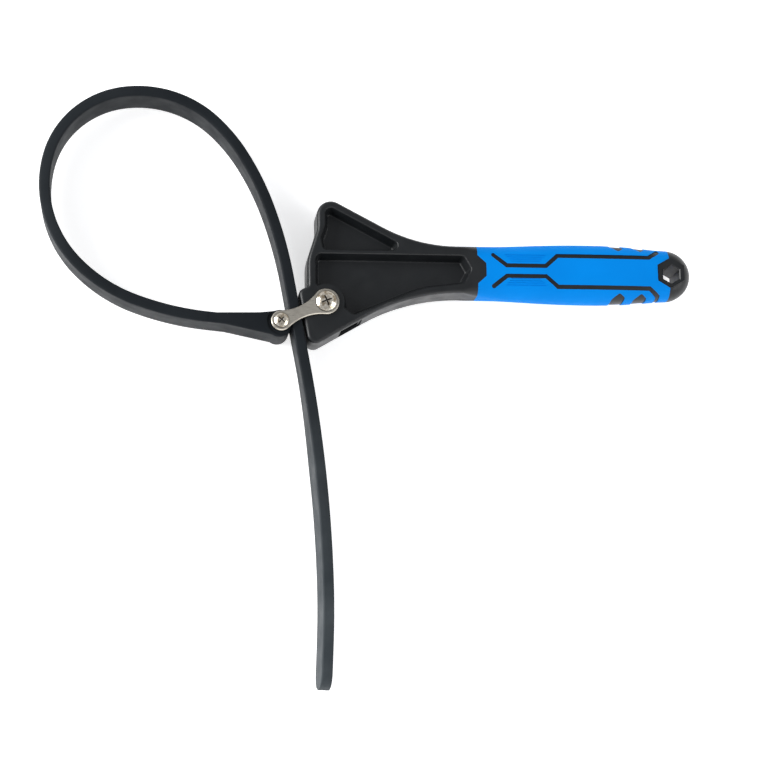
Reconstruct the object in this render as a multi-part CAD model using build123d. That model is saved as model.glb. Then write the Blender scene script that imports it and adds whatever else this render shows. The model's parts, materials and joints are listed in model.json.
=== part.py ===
"""Rubber strap oil filter wrench, lying flat, in millimetres.

X runs along the handle to the grip's end, and Z = 0 is the plane that halves the head's
thickness. The drawing's origin is close to the main pivot, which stands along Z. The
finished pieces are then moved together, so that the origin is under the middle of the
whole tool, on the surface that it lies on.
"""
from build123d import *
import math
import os

# ---- driving dimensions ----------------------------------------------------------------
HEAD_THICKNESS = 22.0       # across the two flat faces of the head
PIVOT = (0.4, 0.2)          # the main pivot
HANDLE_AXIS_Y = 20.8        # of the grip's centre line
NECK_HEIGHT = 27.6          # across the neck, in the plane of the head
HEAD_EDGE_RADIUS = 2.2      # rounding all round both faces of the head
TOP_EDGE_FALL = 28.3        # degrees, slope of the head's upper edge
BOTTOM_EDGE_RISE = 29.8     # degrees, slope of the head's lower edge
POCKET_DEPTH = 8.6          # of the lightening pockets in each face
POCKET_DRAFT = 13.0         # degrees, slope of the pockets' walls
POCKET_FLOOR_RADIUS = 1.0
POCKET_RIM_BEVEL = 0.45

STRAP_THICKNESS = 6.2
STRAP_WIDTH = 22.0
STRAP_EDGE_RADIUS = 1.0
STRAP_GAP = 1.0             # between the strap and the head's flat
PINCH = (-16.37, -10.5)     # a point of the strap's centre line between the link's pins
PINCH_ANGLE = 99.9          # degrees, the strap's direction there
PINCH_RUN_UP = 26.0         # straight strap above that point
PINCH_RUN_DOWN = 27.6       # and below it
TAIL_SPLIT = 19.0           # the tail's node begins this far above the pinch point
LOOP_ARCS = [(9.9, 251.5), (12.2, 158.5), (14.5, 97.4), (51.8, 61.3), (67.5, 51.8),
             (58.1, 66.5), (25.7, 86.9), (14.6, 164.4)]  # (turn, radius), anticlockwise
TAIL_ARCS = [(8.7, 783.0), (3.6, 525.0), (1.0, 1600.0)]  # clockwise, to the free end
TAIL_CORNER_RADIUS = 9.0    # the free end is cut to a rounded tongue
BUTT_GAP = 0.1              # between two nodes of the one rubber moulding

LINK_LENGTH = 28.0          # between the two pins
LINK_ANGLE = 204.0          # degrees, the link's direction from the main pivot
LINK_THICKNESS = 1.8
LINK_GAP = 0.3              # between a link plate and the face of the head
LINK_BIG_RADIUS = 7.4
LINK_SMALL_RADIUS = 5.75
LINK_WAIST = 6.9
LINK_FLANK_RADIUS = 26.5    # of the hollow flanks between its two ends
LINK_BEVEL = 0.45
COUNTERBORE_DEPTH = 0.8     # in the front plate, which the screws' heads sit in
COUNTERBORE_GAP = 0.6       # round each head

LUG_RADIUS = 5.7            # the rounded end of the strap, round its pin
LUG_HEEL_RADIUS = 6.7       # its heavier heel, which hangs below the pin
LUG_STEP_RADIUS = 8.0       # round step that the link plate lies in
LUG_STEP_DEPTH = 0.9

RUNNING_CLEARANCE = 0.05    # radial, in both pivots
HEX_CENTRE = (202.8, 19.7)  # the hanging hole
HEX_RADIUS = 5.6            # to its corners
HEX_BEVEL = 0.65            # round both its mouths
HEX_RIM_CENTRE = (203.0, 20.6)
HEX_RIM_RADIUS = 8.8
HEX_RIM_HEIGHT = 0.7

SLEEVE_START_X = 88.3
SLEEVE_END_X = 202.1
SLEEVE_WALL = 2.4
STRIPE_WIDTH = 2.5
STRIPE_DROP = 0.45          # of the stripes' centre line below the grip's
STRIPE_SINK = 0.45          # the black stripes lie this far under the blue surface

# stations of the grip, which ends in a half round about the last one:
# (x, height, thickness, corner radius)
GRIP_STATIONS = [
    (80.0, 27.6, 22.0, 2.2),
    (90.0, 29.8, 21.6, 6.5),
    (100.0, 31.2, 21.4, 9.0),
    (126.0, 33.8, 21.6, 9.8),
    (148.0, 35.1, 22.0, 10.2),
    (170.0, 34.6, 21.6, 10.0),
    (187.0, 32.2, 21.0, 9.6),
    (201.0, 30.0, 20.4, 9.2),
]

HALF_HEAD = HEAD_THICKNESS / 2
LINK_INNER_Z = HALF_HEAD + LINK_GAP
LINK_OUTER_Z = LINK_INNER_Z + LINK_THICKNESS


def along(angle, distance, start=(0.0, 0.0)):
    """The point at a distance from start, in the direction of an angle in degrees."""
    turn = math.radians(angle)
    return (start[0] + distance * math.cos(turn), start[1] + distance * math.sin(turn))


def crossing(start, angle, other_start, other_angle):
    """Where two lines in the XY plane cross."""
    ux, uy = along(angle, 1.0)
    vx, vy = along(other_angle, 1.0)
    dx = other_start[0] - start[0]
    dy = other_start[1] - start[1]
    reach = (dx * vy - dy * vx) / (ux * vy - uy * vx)
    return along(angle, reach, start)


STRAP_PIN = along(LINK_ANGLE, LINK_LENGTH, PIVOT)
STRAP_SIDE = PINCH_ANGLE - 90.0     # from the strap's centre line towards the head
LOOP_START = along(PINCH_ANGLE, PINCH_RUN_UP, PINCH)
TAIL_START = along(PINCH_ANGLE, -PINCH_RUN_DOWN, PINCH)


# ---- shared shapes ---------------------------------------------------------------------
def plate(sketch, low, high):
    """A sketch in the XY plane made solid from one height to another."""
    return extrude(Pos(0, 0, low) * sketch, high - low)


def cylinder(centre, radius, low, high):
    return plate(Pos(centre[0], centre[1]) * Circle(radius), low, high)


def outline(corners):
    """A closed face from ((x, y), corner radius) pairs."""
    points = [point for point, radius in corners]
    radii = [radius for point, radius in corners]
    return make_face(FilletPolyline(*points, radius=radii, close=True))


def on_axis(points):
    """Points measured from the handle's centre line, placed at its height."""
    return [(x, HANDLE_AXIS_Y + offset) for x, offset in points]


def arc_chain(start, heading, arcs, side):
    """Tangent arcs from a point: side is 1 to turn left and -1 to turn right."""
    edges = []
    for turn, radius in arcs:
        centre = along(heading + 90.0 * side, radius, start)
        edges.append(CenterArc(centre, radius, heading - 90.0 * side, turn * side))
        heading += turn * side
        start = along(heading - 90.0 * side, radius, centre)
    return edges, start, heading


def strap_band(edges, start, heading):
    """The strap's rounded section, swept along tangent edges that begin at start."""
    facing = Plane(origin=start, x_dir=along(heading + 90.0, 1.0), z_dir=along(heading, 1.0))
    section = facing * RectangleRounded(STRAP_THICKNESS, STRAP_WIDTH, STRAP_EDGE_RADIUS)
    return sweep(section, path=Wire(edges))


# ---- the head and handle ---------------------------------------------------------------
TOP_EDGE_POINT = (13.0, 56.4)
BOTTOM_EDGE_POINT = (2.4, -19.7)
FRONT_X = -4.1              # the head's front, above its waist
FRONT_LOW_X = -9.9          # and below it
NECK_TOP = HANDLE_AXIS_Y + NECK_HEIGHT / 2
NECK_BOTTOM = HANDLE_AXIS_Y - NECK_HEIGHT / 2
PIVOT_BOSS_RADIUS = 10.5
NOSE_REACH = 16.8           # how far above the pinch point the nose starts


def head_outline():
    """The fan-shaped head, with its nose and the flat that the strap runs past."""
    flat_start = along(STRAP_SIDE, STRAP_THICKNESS / 2 + STRAP_GAP, PINCH)
    nose = along(PINCH_ANGLE, NOSE_REACH, flat_start)
    heel = crossing(flat_start, PINCH_ANGLE, BOTTOM_EDGE_POINT, BOTTOM_EDGE_RISE)
    neck_x = GRIP_STATIONS[0][0]
    above = crossing(TOP_EDGE_POINT, -TOP_EDGE_FALL, (0, NECK_TOP), 0)
    below = crossing(BOTTOM_EDGE_POINT, BOTTOM_EDGE_RISE, (0, NECK_BOTTOM), 0)
    peak = crossing(TOP_EDGE_POINT, -TOP_EDGE_FALL, (FRONT_X, 0), 90)
    return outline([
        (peak, 8.2),
        (above, 90.0),
        ((neck_x, NECK_TOP), 0.0),
        ((neck_x, NECK_BOTTOM), 0.0),
        (below, 112.0),
        (heel, 5.2),
        (nose, 3.5),
        ((FRONT_LOW_X, 9.6), 1.4),
        ((FRONT_LOW_X, 25.5), 24.0),
        ((FRONT_X, 43.5), 12.0),
    ])


def upper_pocket():
    return outline([
        ((0.4, 58.4), 3.6),
        ((51.3, 31.0), 3.1),
        ((-0.9, 31.0), 3.1),
        ((-2.3, 38.4), 6.0),
        ((0.4, 46.0), 8.0),
    ])


def lower_pocket():
    return outline([
        ((-5.4, 28.8), 3.5),
        ((80.4, 28.8), 3.1),
        ((85.0, 20.6), 3.1),
        ((80.4, 12.4), 3.1),
        ((56.0, 9.4), 60.0),
        ((16.0, -7.2), 3.5),
        ((-5.4, 11.0), 3.1),
    ])


def pocket(mouth):
    """A pocket's hollow: it narrows with depth, has a round foot and a bevelled rim."""
    mouth = Pos(0, 0, HALF_HEAD) * mouth
    hollow = extrude(mouth, -POCKET_DEPTH, taper=POCKET_DRAFT)
    hollow = fillet(hollow.faces().sort_by(Axis.Z)[0].edges(), POCKET_FLOOR_RADIUS)
    return hollow + extrude(offset(mouth, POCKET_RIM_BEVEL), -POCKET_RIM_BEVEL, taper=45.0)


def pockets():
    """The two pockets of each face; the lower one spares the boss round the pivot."""
    boss_top = Pos(PIVOT[0], PIVOT[1], HALF_HEAD) * Circle(PIVOT_BOSS_RADIUS)
    boss = extrude(boss_top, -POCKET_DEPTH, taper=-POCKET_DRAFT)
    hollows = [pocket(upper_pocket()), pocket(lower_pocket()) - boss]
    return hollows + [mirror(hollow, about=Plane.XY) for hollow in hollows]


def slot_in_lower_edge():
    """The moulded slot in the head's lower edge."""
    length = 11.5
    width = 13.0
    depth = 6.0
    middle = along(BOTTOM_EDGE_RISE, 14.6, BOTTOM_EDGE_POINT)
    edge_frame = Pos(middle[0], middle[1]) * Rot(0, 0, BOTTOM_EDGE_RISE)
    mouth = Pos(0, 0.2) * Rectangle(length + 3.0, 1.2)
    cut = plate(Rectangle(length, 2 * depth), -width / 2, width / 2)
    relief = plate(mouth, -width / 2 - 1.0, width / 2 + 1.0)
    return edge_frame * (fillet(cut.edges().filter_by(Axis.Z), 1.0) + relief)


def head():
    block = plate(head_outline(), -HALF_HEAD, HALF_HEAD)
    neck_face = block.faces().sort_by(Axis.X)[-1]
    rims = block.edges().filter_by(lambda edge: abs(edge.center().Z) > HALF_HEAD - 0.01)
    rims = [edge for edge in rims if edge not in neck_face.edges()]
    return fillet(rims, HEAD_EDGE_RADIUS) - slot_in_lower_edge()


def grip_form(shrink=0.0):
    """The grip's outer form, or the same form with every side moved in."""
    sections = []
    for x, height, thickness, radius in GRIP_STATIONS:
        facing = Plane(origin=(x, HANDLE_AXIS_Y, 0), x_dir=(0, 1, 0), z_dir=(1, 0, 0))
        corner = max(radius - shrink, 1.0)
        sections.append(
            facing * RectangleRounded(height - 2 * shrink, thickness - 2 * shrink, corner))
    end_x, height, thickness, radius = GRIP_STATIONS[-1]
    upper_half = facing * Pos(height / 4, 0) * Rectangle(height / 2, thickness)
    end_axis = Axis((end_x, HANDLE_AXIS_Y, 0), (0, 0, 1))
    return loft(sections) + revolve(sections[-1] & upper_half, end_axis, -180.0)


def hexagon(centre, radius):
    return Pos(*centre) * RegularPolygon(radius, 6, rotation=90)


def stripe(points):
    """One black stripe: a polyline of constant width with round ends."""
    centres = on_axis([(x, offset - STRIPE_DROP) for x, offset in points])
    ends = [Pos(*centre) * Circle(STRIPE_WIDTH / 2) for centre in (centres[0], centres[-1])]
    return trace(Polyline(*centres), STRIPE_WIDTH) + ends


def stripes():
    shared = [(97.6, 9.2), (105.4, 3.1), (128.4, 3.1), (135.2, 9.2), (189.8, 9.2)]
    lower = [(x, -offset) for x, offset in shared] + [(195.2, -13.2), (195.2, -15.6)]
    return stripe(shared + [(195.6, 13.0)]) + stripe(lower)


def edge_windows():
    """Two fin-shaped windows along each long edge of the sleeve."""
    found = []
    for x in (172.0, 185.2):
        for side in (1, -1):
            fin = [(x - 5.6, 19.0), (x - 4.4, 15.6), (x, 12.4), (x + 3.6, 14.6), (x + 2.2, 19.0)]
            points = on_axis([(px, offset * side) for px, offset in fin])
            found.append(outline(list(zip(points, (0.0, 2.0, 1.4, 1.0, 0.0)))))
    return found


def sleeve_zone():
    """The part of the grip that the blue sleeve covers, seen from above."""
    reach = 40.0
    low = HANDLE_AXIS_Y - reach
    high = HANDLE_AXIS_Y + reach
    field = Polygon((SLEEVE_START_X, low), (SLEEVE_END_X, low), (SLEEVE_END_X, high),
                    (SLEEVE_START_X, high), align=None)
    tab = Polygon(*on_axis([(SLEEVE_START_X - 1.0, -8.4), (SLEEVE_START_X, -8.4),
                            (SLEEVE_START_X + 5.1, -3.8), (SLEEVE_START_X + 5.1, 3.8),
                            (SLEEVE_START_X, 8.4), (SLEEVE_START_X - 1.0, 8.4)]), align=None)
    return field - tab - hexagon(HEX_RIM_CENTRE, HEX_RIM_RADIUS + 0.6)


def showing_core():
    """Prisms through which the black core reaches the grip's surface."""
    prisms = plate(stripes(), -30.0, 30.0)
    for fin in edge_windows():
        prisms += plate(fin, -30.0, 30.0)
    return prisms


def rib_grooves():
    """Four fine grooves in each face, on both sides of the stripes' waist."""
    lines = []
    for row in range(4):
        offset = 5.2 + 1.25 * row
        start = 108.0 - 1.1 * row
        stop = 125.0 + 1.1 * row
        for side in (1, -1):
            middle = ((start + stop) / 2, HANDLE_AXIS_Y + side * offset)
            lines.append(Pos(*middle) * SlotOverall(stop - start, 0.45))
    grooves = plate(lines[0], -30.0, 30.0)
    for line in lines[1:]:
        grooves += plate(line, -30.0, 30.0)
    return grooves - grip_form(0.3)


def handle_core(form, zone, showing):
    """The black moulding: head, neck, the grip's core and its end with the hanging hole."""
    core = head() + grip_form(SLEEVE_WALL)
    core += form - zone
    core += grip_form(STRIPE_SINK) & showing & zone
    rim_top = GRIP_STATIONS[-1][2] / 2 + HEX_RIM_HEIGHT
    core += plate(hexagon(HEX_RIM_CENTRE, HEX_RIM_RADIUS), -rim_top, rim_top)
    core -= plate(hexagon(HEX_CENTRE, HEX_RADIUS), -30.0, 30.0)
    mouth = Pos(0, 0, rim_top) * hexagon(HEX_CENTRE, HEX_RADIUS + HEX_BEVEL)
    bevel = extrude(mouth, -HEX_BEVEL, taper=45.0)
    core -= bevel
    core -= mirror(bevel, about=Plane.XY)
    for hollow in pockets():
        core -= hollow
    return core - cylinder(PIVOT, BUSH_OUTER, -30.0, 30.0)


def grip_sleeve(form, zone, showing):
    return (form & zone) - grip_form(SLEEVE_WALL) - showing - rib_grooves()


# ---- the links and their pins ----------------------------------------------------------
PIVOT_BARREL = 3.5          # radius of the main pivot's barrel
PIVOT_SHANK = 2.0
PIVOT_HEAD = 5.7
BUSH_OUTER = 5.0
STRAP_BARREL = 2.75
STRAP_SHANK = 1.6
STRAP_HEAD = 4.0
LUG_BUSH_OUTER = 3.9
NUT_HEAD_THICKNESS = 1.1
SEAT_GAP = 0.04             # under a head, so that two faces don't share a plane
SCREW_SEAT = LINK_OUTER_Z - COUNTERBORE_DEPTH + SEAT_GAP
SCREW_RIM = 1.3             # height of a head's straight side, under its dome


def tube(centre, outer, inner, low, high):
    return cylinder(centre, outer, low, high) - cylinder(centre, inner, low - 1, high + 1)


def link_plate(side):
    """One dog-bone plate; side is 1 for the front face and -1 for the back."""
    middle = along(LINK_ANGLE, LINK_LENGTH / 2, PIVOT)
    bar = Pos(*middle) * Rot(0, 0, LINK_ANGLE) * Rectangle(LINK_LENGTH, LINK_WAIST)
    ends = Pos(*PIVOT) * Circle(LINK_BIG_RADIUS) + Pos(*STRAP_PIN) * Circle(LINK_SMALL_RADIUS)
    solid = plate(bar + ends, LINK_INNER_Z, LINK_OUTER_Z)
    corners = [edge for edge in solid.edges().filter_by(Axis.Z)
               if math.dist((edge.center().X, edge.center().Y), middle) < LINK_LENGTH / 2 - 2.0]
    solid = fillet(corners, LINK_FLANK_RADIUS)
    solid = chamfer(solid.faces().sort_by(Axis.Z)[-1].outer_wire().edges(), LINK_BEVEL)
    solid -= cylinder(PIVOT, PIVOT_BARREL + RUNNING_CLEARANCE, 0, 30)
    solid -= cylinder(STRAP_PIN, STRAP_BARREL + RUNNING_CLEARANCE, 0, 30)
    if side < 0:
        return mirror(solid, about=Plane.XY)
    for centre, head_radius in ((PIVOT, PIVOT_HEAD), (STRAP_PIN, STRAP_HEAD)):
        solid -= cylinder(centre, head_radius + COUNTERBORE_GAP, SCREW_SEAT - SEAT_GAP, 30)
    return solid


def cross_recess(centre, head_radius, top, turn):
    """A cross recess that narrows towards its floor."""
    arm = head_radius * 1.15
    cross = Rectangle(arm, head_radius * 0.16) + Rectangle(head_radius * 0.16, arm)
    placed = Pos(centre[0], centre[1], top) * Rot(0, 0, turn) * cross
    return extrude(placed, -head_radius * 0.26, taper=12.0)


def domed_screw(centre, head_radius, rise, shank, shank_end, turn):
    """A screw with a domed head and a cross recess, driven from the front."""
    top = SCREW_SEAT + SCREW_RIM + rise
    ball = (head_radius ** 2 + rise ** 2) / (2 * rise)
    head_disc = cylinder(centre, head_radius, SCREW_SEAT, top)
    dome = Pos(centre[0], centre[1], top - ball) * Sphere(ball)
    solid = (head_disc & dome) + cylinder(centre, shank, shank_end, SCREW_SEAT)
    return solid - cross_recess(centre, head_radius, top, turn)


def barrel_nut(centre, head_radius, barrel, bore):
    """A flat-headed barrel nut, put in from the back."""
    seat = LINK_OUTER_Z + SEAT_GAP
    head_disc = cylinder(centre, head_radius, -seat - NUT_HEAD_THICKNESS, -seat)
    head_disc = chamfer(head_disc.edges().sort_by(Axis.Z)[0], 0.3)
    return head_disc + tube(centre, barrel, bore, -seat - 0.01, SCREW_SEAT - 0.1)


def bush(centre, outer, barrel, half_length):
    """A plain sleeve that turns on a barrel."""
    return tube(centre, outer, barrel + RUNNING_CLEARANCE, -half_length, half_length)


# ---- the strap -------------------------------------------------------------------------
def strap_loop():
    split = along(PINCH_ANGLE, TAIL_SPLIT + BUTT_GAP, PINCH)
    arcs, end, heading = arc_chain(LOOP_START, PINCH_ANGLE, LOOP_ARCS, 1)
    return strap_band([Line(split, LOOP_START)] + arcs, split, PINCH_ANGLE), end, heading


def beside_strap_pin(x, y):
    return (STRAP_PIN[0] + x, STRAP_PIN[1] + y)


def strap_end(join, heading):
    """The wedge and rounded lug moulded on the strap's fixed end."""
    half = STRAP_THICKNESS / 2
    join = along(heading, BUTT_GAP, join)
    wedge = outline([
        (along(heading + 90.0, half, join), 0.0),
        (beside_strap_pin(-36.0, 4.75), 0.0),
        (beside_strap_pin(-12.0, 5.1), 40.0),
        (beside_strap_pin(-5.0, 5.8), 12.0),
        (beside_strap_pin(-1.0, 6.6), 0.0),
        (beside_strap_pin(-1.0, -9.0), 0.0),
        (beside_strap_pin(-6.2, -7.5), 10.0),
        (beside_strap_pin(-31.5, -1.95), 0.0),
        (along(heading - 90.0, half, join), 0.0),
    ])
    knob = CenterArc(beside_strap_pin(-0.7, 0.95), LUG_RADIUS, 0, 360)
    heel = CenterArc(beside_strap_pin(-1.15, -2.35), LUG_HEEL_RADIUS, 0, 360)
    half_width = STRAP_WIDTH / 2
    solid = plate(wedge + make_hull([knob.edge(), heel.edge()]), -half_width, half_width)
    rims = [edge for edge in solid.edges() if abs(edge.center().Z) > half_width - 0.01
            and edge.center().X > join[0] + 0.5]
    solid = fillet(rims, STRAP_EDGE_RADIUS)
    for low, high in ((half_width - LUG_STEP_DEPTH, 20.0), (-20.0, LUG_STEP_DEPTH - half_width)):
        solid -= cylinder(STRAP_PIN, LUG_STEP_RADIUS, low, high)
    return solid - cylinder(STRAP_PIN, LUG_BUSH_OUTER, -20.0, 20.0)


def strap_tail():
    """The free end, from above the nose to its rounded tongue."""
    split = along(PINCH_ANGLE, TAIL_SPLIT, PINCH)
    down = PINCH_ANGLE - 180.0
    arcs, end, heading = arc_chain(TAIL_START, down, TAIL_ARCS, -1)
    band = strap_band([Line(split, TAIL_START)] + arcs, split, down)
    half = STRAP_WIDTH / 2
    reach = TAIL_CORNER_RADIUS + 2.0
    tongue = outline([
        ((-half, -reach), 0.0),
        ((-half, 0.0), TAIL_CORNER_RADIUS),
        ((half, 0.0), TAIL_CORNER_RADIUS),
        ((half, -reach), 0.0),
    ])
    surround = Pos(0, 1 - reach / 2) * Rectangle(STRAP_WIDTH + 2.0, reach) - tongue
    end_frame = Plane(origin=end, x_dir=(0, 0, 1), z_dir=along(heading + 90.0, 1.0))
    return band - extrude(end_frame * surround, STRAP_THICKNESS, both=True)


# ---- the whole tool --------------------------------------------------------------------
def all_pieces():
    form = grip_form()
    zone = plate(sleeve_zone(), -40.0, 40.0)
    showing = showing_core()
    loop, join, heading = strap_loop()
    return {
        "handle_core": handle_core(form, zone, showing),
        "grip_sleeve": grip_sleeve(form, zone, showing),
        "pivot_bush": bush(PIVOT, BUSH_OUTER, PIVOT_BARREL, HALF_HEAD + 0.15),
        "link_plate_front": link_plate(1),
        "link_plate_back": link_plate(-1),
        "pivot_screw": domed_screw(PIVOT, PIVOT_HEAD, 1.9, PIVOT_SHANK, -6.0, 22.0),
        "pivot_barrel_nut": barrel_nut(PIVOT, PIVOT_HEAD, PIVOT_BARREL, PIVOT_SHANK + 0.05),
        "strap_pin_screw": domed_screw(STRAP_PIN, STRAP_HEAD, 1.4, STRAP_SHANK, -6.0, 50.0),
        "strap_pin_barrel_nut": barrel_nut(STRAP_PIN, STRAP_HEAD, STRAP_BARREL,
                                           STRAP_SHANK + 0.05),
        "lug_bush": bush(STRAP_PIN, LUG_BUSH_OUTER, STRAP_BARREL,
                         HALF_HEAD - LUG_STEP_DEPTH + 0.15),
        "strap_end": strap_end(join, heading),
        "strap_loop": loop,
        "strap_tail": strap_tail(),
    }


def under_the_middle(pieces):
    """The move that puts the origin under the middle of the tool, where it rests."""
    boxes = [piece.bounding_box() for piece in pieces]
    middle_x = (min(box.min.X for box in boxes) + max(box.max.X for box in boxes)) / 2
    middle_y = (min(box.min.Y for box in boxes) + max(box.max.Y for box in boxes)) / 2
    return (-middle_x, -middle_y, -min(box.min.Z for box in boxes))


def main():
    pieces = all_pieces()
    move = under_the_middle(pieces.values())
    os.makedirs("parts", exist_ok=True)
    for name, piece in pieces.items():
        export_step(Pos(*move) * piece, "parts/" + name + ".step")
    print("main pivot at", move[0] + PIVOT[0], move[1] + PIVOT[1], move[2])
    print("strap pin at", move[0] + STRAP_PIN[0], move[1] + STRAP_PIN[1])
    print("strap slides along", along(PINCH_ANGLE - 180.0, 1.0))


main()
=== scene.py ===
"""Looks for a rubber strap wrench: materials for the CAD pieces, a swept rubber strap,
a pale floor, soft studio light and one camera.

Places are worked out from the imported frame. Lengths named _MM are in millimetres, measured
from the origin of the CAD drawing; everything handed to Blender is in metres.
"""
import json
import math

import bmesh
import bpy
from mathutils import Matrix, Vector


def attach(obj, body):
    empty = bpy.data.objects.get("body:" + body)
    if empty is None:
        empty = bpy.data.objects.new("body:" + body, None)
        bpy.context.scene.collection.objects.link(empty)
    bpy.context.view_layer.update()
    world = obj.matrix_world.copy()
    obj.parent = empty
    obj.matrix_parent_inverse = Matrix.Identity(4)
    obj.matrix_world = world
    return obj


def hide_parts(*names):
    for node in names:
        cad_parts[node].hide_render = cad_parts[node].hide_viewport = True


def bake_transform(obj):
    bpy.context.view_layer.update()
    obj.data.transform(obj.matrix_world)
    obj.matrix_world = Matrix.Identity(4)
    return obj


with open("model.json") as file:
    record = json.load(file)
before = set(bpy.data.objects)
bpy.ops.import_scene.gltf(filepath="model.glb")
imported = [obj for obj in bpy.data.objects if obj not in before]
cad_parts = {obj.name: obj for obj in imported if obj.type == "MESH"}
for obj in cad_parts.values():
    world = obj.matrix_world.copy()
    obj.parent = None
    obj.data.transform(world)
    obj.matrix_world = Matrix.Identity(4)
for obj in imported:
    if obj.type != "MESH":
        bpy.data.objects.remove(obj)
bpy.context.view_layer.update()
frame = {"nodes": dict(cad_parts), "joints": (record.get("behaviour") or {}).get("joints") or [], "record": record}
MM = 0.001
PIVOT_MM = (0.4, 0.2)       # the main pivot, as in the CAD source
PIVOT = Vector(next(j["pos_m"] for j in frame["joints"] if j["name"] == "link_swing"))
ORIGIN = PIVOT - Vector((PIVOT_MM[0], PIVOT_MM[1], 0.0)) * MM

# ---- the strap, as in the CAD source ---------------------------------------------------
STRAP_THICKNESS_MM = 6.2
STRAP_WIDTH_MM = 22.0
STRAP_EDGE_RADIUS_MM = 1.0
PINCH_MM = (-16.37, -10.5)
PINCH_ANGLE = 99.9
PINCH_RUN_UP_MM = 26.0
PINCH_RUN_DOWN_MM = 27.6
TAIL_SPLIT_MM = 19.0
LOOP_ARCS = [(9.9, 251.5), (12.2, 158.5), (14.5, 97.4), (51.8, 61.3), (67.5, 51.8),
             (58.1, 66.5), (25.7, 86.9), (14.6, 164.4)]
TAIL_ARCS = [(8.7, 783.0), (3.6, 525.0), (1.0, 1600.0)]
TAIL_LEAN = 4.0             # degrees, how far the free end's far edge leans over
TAIL_LEAN_MM = (40.0, 110.0)  # it begins and is complete this far along the free end
TAIL_CORNER_RADIUS_MM = 9.0
STATION_STEP_MM = 1.6
CORNER_STEPS = 4            # faces round each edge of the strap's section
SIDE_STEPS = 8              # and across each of its wide sides
SHARP_ANGLE = 50.0          # degrees, edges below this are shaded smooth
NEAR_PIECE_MM = 56.0        # length of the loop's piece beside the lug
HIGH_PIECE_MM = 190.0       # and of the loop's piece that starts at the split with the free end
SEAM_OVERLAP_MM = 0.3       # of the loop into the lug, which have a gap in CAD
SHEEN_CENTRE_MM = (-60.0, 50.0)  # away from here the rubber is painted greyer, a painted sheen
SHEEN_REACH_MM = (75.0, 240.0)    # which begins and is complete at these distances


# ---- node helpers ----------------------------------------------------------------------
class Shader:
    """A material with a Principled BSDF, and short ways to add nodes to it."""

    def __init__(self, name, **sockets):
        self.material = bpy.data.materials.new(name)
        self.material.use_nodes = True
        self.tree = self.material.node_tree
        self.bsdf = self.tree.nodes["Principled BSDF"]
        for socket, value in sockets.items():
            self.bsdf.inputs[socket.replace("_", " ")].default_value = value

    def node(self, kind, **settings):
        """A node; settings are its properties, or its input sockets where a socket has the name."""
        made = self.tree.nodes.new("ShaderNode" + kind)
        for name, value in settings.items():
            socket = name.replace("_", " ")
            if socket in made.inputs:
                made.inputs[socket].default_value = value
            else:
                setattr(made, name, value)
        return made

    def link(self, source, target):
        self.tree.links.new(source, target)

    def places(self, stretch=(1.0, 1.0, 1.0)):
        """Object coordinates in metres, scaled along each axis."""
        coordinates = self.node("TexCoord")
        mapping = self.node("Mapping", Scale=stretch)
        self.link(coordinates.outputs["Object"], mapping.inputs["Vector"])
        return mapping.outputs["Vector"]

    def noise(self, scale, detail=2.0, rough=0.5, stretch=(1.0, 1.0, 1.0)):
        texture = self.node("TexNoise", Scale=scale, Detail=detail, Roughness=rough)
        self.link(self.places(stretch), texture.inputs["Vector"])
        return texture.outputs["Fac"]

    def distance(self, point):
        """How far a place of the object is from a point, in metres."""
        away = self.node("VectorMath", operation="DISTANCE")
        self.link(self.places(), away.inputs[0])
        away.inputs[1].default_value = point
        return away.outputs["Value"]

    def spread(self, value, low, high, start=0.3, stop=0.7):
        """Maps start..stop of a value to low..high."""
        remap = self.node("MapRange")
        for name, number in (("From Min", start), ("From Max", stop), ("To Min", low),
                             ("To Max", high)):
            remap.inputs[name].default_value = number
        self.link(value, remap.inputs["Value"])
        return remap.outputs["Result"]

    def mix(self, share, first, second):
        """A colour between two, by a share; each is a colour or an output."""
        blend = self.node("Mix", data_type="RGBA")
        self.link(share, blend.inputs["Factor"])
        for socket, value in ((blend.inputs[6], first), (blend.inputs[7], second)):
            if isinstance(value, bpy.types.NodeSocket):
                self.link(value, socket)
            else:
                socket.default_value = value
        return blend.outputs[2]

    def bump(self, height, strength, distance, under=None):
        relief = self.node("Bump", Strength=strength, Distance=distance)
        self.link(height, relief.inputs["Height"])
        if under is not None:
            self.link(under, relief.inputs["Normal"])
        return relief.outputs["Normal"]

    def colour(self, output):
        self.link(output, self.bsdf.inputs["Base Color"])

    def roughness(self, output):
        self.link(output, self.bsdf.inputs["Roughness"])

    def normal(self, output):
        self.link(output, self.bsdf.inputs["Normal"])


# ---- materials -------------------------------------------------------------------------
def black_plastic():
    """Satin black glass-filled nylon: fine spark texture, faint flow mottling."""
    s = Shader("black_plastic", Specular_IOR_Level=0.44)
    mottle = s.noise(55.0, detail=4.0, rough=0.6)
    s.colour(s.mix(s.spread(mottle, 0.0, 1.0), (0.0034, 0.0044, 0.0054, 1),
                   (0.0068, 0.0082, 0.0096, 1)))
    s.roughness(s.spread(s.noise(130.0, detail=5.0), 0.35, 0.49))
    coarse = s.bump(s.noise(900.0, detail=3.0), 0.12, 0.0003)
    s.normal(s.bump(s.noise(3200.0, detail=2.0), 0.2, 0.00012, coarse))
    return s.material


def blue_grip():
    """Azure soft-touch sleeve with a satin skin."""
    s = Shader("blue_grip", Specular_IOR_Level=0.05)
    tone = s.noise(28.0, detail=3.0)
    s.colour(s.mix(s.spread(tone, 0.0, 1.0), (0.0, 0.206, 0.67, 1), (0.0, 0.230, 0.73, 1)))
    s.roughness(s.spread(s.noise(240.0, detail=4.0), 0.5, 0.64))
    s.normal(s.bump(s.noise(2600.0, detail=3.0), 0.16, 0.0001))
    return s.material


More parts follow.
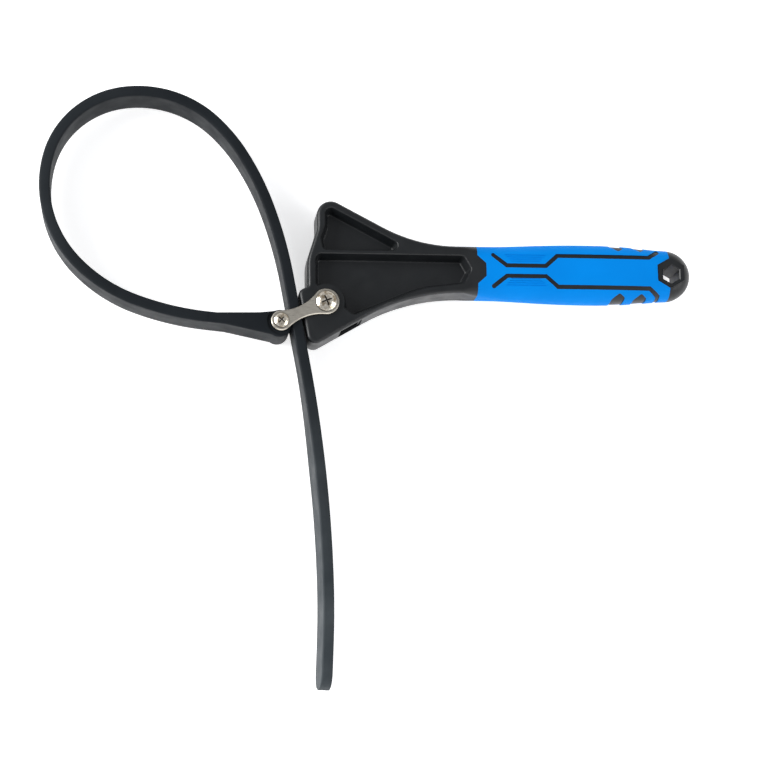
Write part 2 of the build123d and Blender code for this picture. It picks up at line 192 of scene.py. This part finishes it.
def strap_rubber():
    """Moulded rubber: blue-black and finely rough with random mottling, painted greyer away from a point above the
    loop as a painted sheen, most towards the free end.
    """
    s = Shader("strap_rubber", Specular_IOR_Level=0.15)
    rubber_mottle = s.noise(16.0, detail=5.0, rough=0.62)
    dark_tone = s.mix(s.spread(rubber_mottle, 0.0, 1.0), (0.0042, 0.0058, 0.0078, 1),
                 (0.0095, 0.0124, 0.0154, 1))
    painted_sheen_grey = s.mix(s.spread(rubber_mottle, 0.0, 1.0), (0.0270, 0.0340, 0.0390, 1),
                 (0.0620, 0.0720, 0.0780, 1))
    # Painted sheen: with distance from a point above the loop, the rubber turns from its dark tone to a lighter
    # grey.
    near, far = (reach * MM for reach in SHEEN_REACH_MM)
    away = s.distance(at(*SHEEN_CENTRE_MM))
    s.colour(s.mix(s.spread(away, 0.0, 1.0, near, far), dark_tone, painted_sheen_grey))
    s.roughness(s.spread(s.noise(90.0, detail=5.0), 0.5, 0.66))
    coarse = s.bump(s.noise(420.0, detail=4.0, rough=0.6), 0.14, 0.0003)
    s.normal(s.bump(s.noise(2400.0, detail=2.0), 0.22, 0.00012, coarse))
    return s.material


def link_steel():
    """Nickel-plated pressed steel, lightly brushed along the link."""
    s = Shader("link_steel", Metallic=1.0)
    streaks = s.noise(260.0, detail=4.0, rough=0.7, stretch=(1.0, 6.0, 1.0))
    s.colour(s.mix(s.spread(streaks, 0.0, 1.0), (0.50, 0.46, 0.39, 1), (0.66, 0.62, 0.54, 1)))
    s.roughness(s.spread(streaks, 0.26, 0.42))
    s.normal(s.bump(streaks, 0.1, 0.00008))
    return s.material


def screw_chrome():
    """Polished plating with a warm cast; its recesses are painted dark brown through an occlusion mask, a painted
    shade.
    """
    s = Shader("screw_chrome", Metallic=1.0)
    painted_shade_mask = s.node("AmbientOcclusion", Distance=0.0016, samples=8).outputs["AO"]
    stain = s.spread(s.noise(420.0, detail=4.0, rough=0.6), 0.0, 1.0, 0.38, 0.6)
    plating = s.mix(stain, (0.40, 0.32, 0.22, 1), (0.98, 0.92, 0.80, 1))
    # Painted shade: where the occlusion mask finds the head closed in, the colour goes to a dark brown.
    s.colour(s.mix(s.spread(painted_shade_mask, 0.0, 1.0, 0.35, 0.95), (0.035, 0.026, 0.018, 1), plating))
    s.roughness(s.spread(s.noise(700.0, detail=4.0), 0.12, 0.24))
    s.normal(s.bump(s.noise(420.0, detail=3.0), 0.3, 0.0002))
    return s.material


def bush_steel():
    """Plain turned steel."""
    s = Shader("bush_steel", Metallic=1.0)
    s.colour(s.mix(s.spread(s.noise(500.0), 0.0, 1.0), (0.42, 0.42, 0.43, 1),
                   (0.55, 0.55, 0.56, 1)))
    s.roughness(s.spread(s.noise(900.0), 0.28, 0.4))
    return s.material


def dress_cad_nodes(materials):
    """Each CAD node gets the material that its record slot names."""
    for row in frame["record"]["subparts"]:
        node = frame["nodes"][row["node"]]
        for slot in node.material_slots:
            slot.material = materials[row["material_slot"]]


# ---- the strap -------------------------------------------------------------------------
def along(angle, distance, start):
    turn = math.radians(angle)
    return (start[0] + distance * math.cos(turn), start[1] + distance * math.sin(turn))


def route(start, heading, run, arcs, side):
    """Stations (x, y, heading, distance) along a straight run and then tangent arcs, in mm."""
    stations = []
    travelled = 0.0
    steps = max(2, round(run / STATION_STEP_MM))
    for k in range(steps):
        x, y = along(heading, run * k / steps, start)
        stations.append((x, y, heading, travelled + run * k / steps))
    travelled += run
    point = along(heading, run, start)
    for turn, radius in arcs:
        centre = along(heading + 90.0 * side, radius, point)
        length = math.radians(turn) * radius
        steps = max(2, round(length / STATION_STEP_MM))
        for k in range(steps):
            now = heading + side * turn * k / steps
            x, y = along(now - 90.0 * side, radius, centre)
            stations.append((x, y, now, travelled + length * k / steps))
        heading += side * turn
        point = along(heading - 90.0 * side, radius, centre)
        travelled += length
    stations.append((point[0], point[1], heading, travelled))
    return stations


def profile(half_thickness, half_width, radius):
    """A rounded rectangle as (across, up) points, with points along its long sides."""
    points = []
    corners = [(1, 1, 0), (-1, 1, 90), (-1, -1, 180), (1, -1, 270)]
    for sx, sy, first in corners:
        cx = sx * (half_thickness - radius)
        cy = sy * (half_width - radius)
        for k in range(CORNER_STEPS + 1):
            angle = math.radians(first + 90.0 * k / CORNER_STEPS)
            points.append((cx + radius * math.cos(angle), cy + radius * math.sin(angle)))
        if sx * sy < 0:
            for k in range(1, SIDE_STEPS):
                points.append((cx + sx * radius, cy - sy * 2 * abs(cy) * k / SIDE_STEPS))
    return points


def profile_ring(station, half_thickness, half_width, radius, lean=0.0):
    """The section at a station; it leans about the middle of its near edge."""
    x, y, heading, travelled = station
    across = along(heading + 90.0, 1.0, (0.0, 0.0))
    sine, cosine = math.sin(math.radians(lean)), math.cos(math.radians(lean))
    near_edge = STRAP_WIDTH_MM / 2
    ring = []
    for offset, up in profile(half_thickness, half_width, radius):
        side = offset * cosine + (up - near_edge) * sine
        rise = near_edge - offset * sine + (up - near_edge) * cosine
        ring.append(ORIGIN + Vector((x + across[0] * side, y + across[1] * side, rise)) * MM)
    return ring


def tongue_half_width(from_end):
    """Half of the strap's width near its free end, whose corners are rounded off."""
    full = STRAP_WIDTH_MM / 2
    if from_end >= TAIL_CORNER_RADIUS_MM:
        return full
    drop = TAIL_CORNER_RADIUS_MM - from_end
    return full - TAIL_CORNER_RADIUS_MM + math.sqrt(TAIL_CORNER_RADIUS_MM ** 2 - drop ** 2)


def tail_lean(travelled):
    """How far the free end leans, in degrees, at a distance along it."""
    first, last = TAIL_LEAN_MM
    share = min(max((travelled - first) / (last - first), 0.0), 1.0)
    return TAIL_LEAN * share * share * (3.0 - 2.0 * share)


def strap_piece(name, stations, tongue=False):
    """A closed swept piece of strap through the stations."""
    rings = []
    last = stations[-1][3]
    for station in stations:
        half_width = STRAP_WIDTH_MM / 2
        lean = 0.0
        if tongue:
            half_width = tongue_half_width(last - station[3])
            lean = tail_lean(station[3])
        rings.append(profile_ring(station, STRAP_THICKNESS_MM / 2, half_width,
                                  STRAP_EDGE_RADIUS_MM, lean))
    mesh = bpy.data.meshes.new(name)
    form = bmesh.new()
    rows = [[form.verts.new(point) for point in ring] for ring in rings]
    count = len(rows[0])
    for near, far in zip(rows, rows[1:]):
        for k in range(count):
            form.faces.new((near[k], near[(k + 1) % count], far[(k + 1) % count], far[k]))
    form.faces.new(list(reversed(rows[0])))
    form.faces.new(rows[-1])
    bmesh.ops.recalc_face_normals(form, faces=form.faces)
    form.to_mesh(mesh)
    form.free()
    piece = bpy.data.objects.new(name, mesh)
    bpy.context.scene.collection.objects.link(piece)
    mesh.shade_smooth()
    mesh.set_sharp_from_angle(angle=math.radians(SHARP_ANGLE))
    return piece


def at(x, y):
    """A point of the frame from millimetres beside the drawing's origin."""
    return ORIGIN + Vector((x, y, 0.0)) * MM


def blend_between(piece):
    """Bakes the piece's place into its mesh; nothing is blended."""
    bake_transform(piece)


def strap(material):
    """The loop in three pieces and the free end, in place of their CAD nodes."""
    split = along(PINCH_ANGLE, TAIL_SPLIT_MM, PINCH_MM)
    loop = route(split, PINCH_ANGLE, PINCH_RUN_UP_MM - TAIL_SPLIT_MM, LOOP_ARCS, 1)
    tail_run = PINCH_RUN_DOWN_MM + TAIL_SPLIT_MM
    tail = route(split, PINCH_ANGLE - 180.0, tail_run, TAIL_ARCS, -1)
    x, y, heading, length = loop[-1]
    low_end = next(k for k, s in enumerate(loop) if s[3] > length - NEAR_PIECE_MM)
    loop.append(along(heading, SEAM_OVERLAP_MM, (x, y)) + (heading, length + SEAM_OVERLAP_MM))
    high_end = next(k for k, s in enumerate(loop) if s[3] > HIGH_PIECE_MM)
    high = strap_piece("strap_loop_high", loop[:high_end + 1])
    low = strap_piece("strap_loop_low", loop[high_end:low_end + 1])
    near = strap_piece("strap_loop_near", loop[low_end:])
    free = strap_piece("strap_free_end", tail, tongue=True)
    for piece in (high, low, near, free):
        piece.data.materials.append(material)
    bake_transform(high)
    blend_between(low)
    blend_between(near)
    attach(free, "strap_tail")
    for piece in (high, low, near):
        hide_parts("strap_loop")
    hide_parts("strap_tail")


# ---- floor, light and camera -----------------------------------------------------------
FLOOR_GLOW = 0.58           # the floor is a light table, which keeps shadows faint
FLOOR_SIZE = 12.0
FLOOR_DROP = 0.0004         # keeps the floor clear of the faces that rest on it
SKY_STRENGTH = 0.9
SKY_STOPS = [(0.25, (0.68, 0.68, 0.69, 1)), (0.75, (0.46, 0.47, 0.49, 1))]  # upwards
LIGHT_AIM = (0.0, 0.03, 0.0)
# name, place, (width, height), watts
SOFTBOXES = [
    ("softbox_left", (-1.7, 0.3, 0.9), (1.6, 1.1), 52.0),
    ("softbox_right", (1.5, -0.5, 1.1), (1.3, 0.9), 11.0),
    ("softbox_front", (0.1, -1.5, 0.5), (1.9, 0.7), 6.0),
]


def floor():
    """A pale, faintly glowing plane that isn't part of the tool."""
    s = Shader("pale_floor", Base_Color=(0.93, 0.93, 0.93, 1), Roughness=0.9,
               Specular_IOR_Level=0.1, Emission_Color=(1.0, 1.0, 1.0, 1),
               Emission_Strength=FLOOR_GLOW)
    bpy.ops.mesh.primitive_plane_add(size=FLOOR_SIZE, location=(0, 0, -FLOOR_DROP))
    ground = bpy.context.object
    ground.name = "floor"
    ground.data.materials.append(s.material)


def softbox(name, place, size, power):
    light = bpy.data.lights.new(name, "AREA")
    light.shape = "RECTANGLE"
    light.size, light.size_y = size
    light.energy = power
    lamp = bpy.data.objects.new(name, light)
    bpy.context.scene.collection.objects.link(lamp)
    lamp.location = place
    aim = Vector(LIGHT_AIM) - Vector(place)
    lamp.rotation_euler = aim.to_track_quat("-Z", "Y").to_euler()


def studio():
    """A pale room that is darker overhead, and softboxes round the tool."""
    world = bpy.data.worlds.new("studio")
    bpy.context.scene.world = world
    world.use_nodes = True
    tree = world.node_tree
    background = tree.nodes["Background"]
    coordinates = tree.nodes.new("ShaderNodeTexCoord")
    parts = tree.nodes.new("ShaderNodeSeparateXYZ")
    ramp = tree.nodes.new("ShaderNodeValToRGB")
    for stop, (position, colour) in zip(ramp.color_ramp.elements, SKY_STOPS):
        stop.position = position
        stop.color = colour
    tree.links.new(coordinates.outputs["Generated"], parts.inputs[0])
    tree.links.new(parts.outputs["Z"], ramp.inputs[0])
    tree.links.new(ramp.outputs[0], background.inputs["Color"])
    background.inputs["Strength"].default_value = SKY_STRENGTH
    for box in SOFTBOXES:
        softbox(*box)


CAMERA_FROM_ORIGIN = Vector((-0.1071, -0.2550, 1.0450))
CAMERA_BACK = Vector((-0.1313, -0.1955, 0.9718))  # from the view's middle to the camera
CAMERA_ROLL = 0.45          # degrees
CAMERA_LENS = 88.45         # focal length and sensor width, in mm
CAMERA_SENSOR = 36.0


def camera():
    """The photograph's viewpoint: nearly overhead, a little to the left and in front."""
    data = bpy.data.cameras.new("camera")
    data.lens = CAMERA_LENS
    data.sensor_width = CAMERA_SENSOR
    eye = bpy.data.objects.new("camera", data)
    bpy.context.scene.collection.objects.link(eye)
    back = CAMERA_BACK.normalized()
    right = (Vector((1, 0, 0)) - back * back.x).normalized()
    up = back.cross(right)
    turn = Matrix((right, up, back)).transposed().to_4x4()
    turn @= Matrix.Rotation(math.radians(CAMERA_ROLL), 4, "Z")
    eye.matrix_world = Matrix.Translation(ORIGIN + CAMERA_FROM_ORIGIN) @ turn
    bpy.context.scene.camera = eye


def main():
    materials = {maker.__name__: maker() for maker in (black_plastic, blue_grip, strap_rubber,
                                                       link_steel, screw_chrome, bush_steel)}
    dress_cad_nodes(materials)
    strap(materials["strap_rubber"])
    floor()
    studio()
    camera()
    bpy.context.scene.view_settings.view_transform = "Standard"


main()
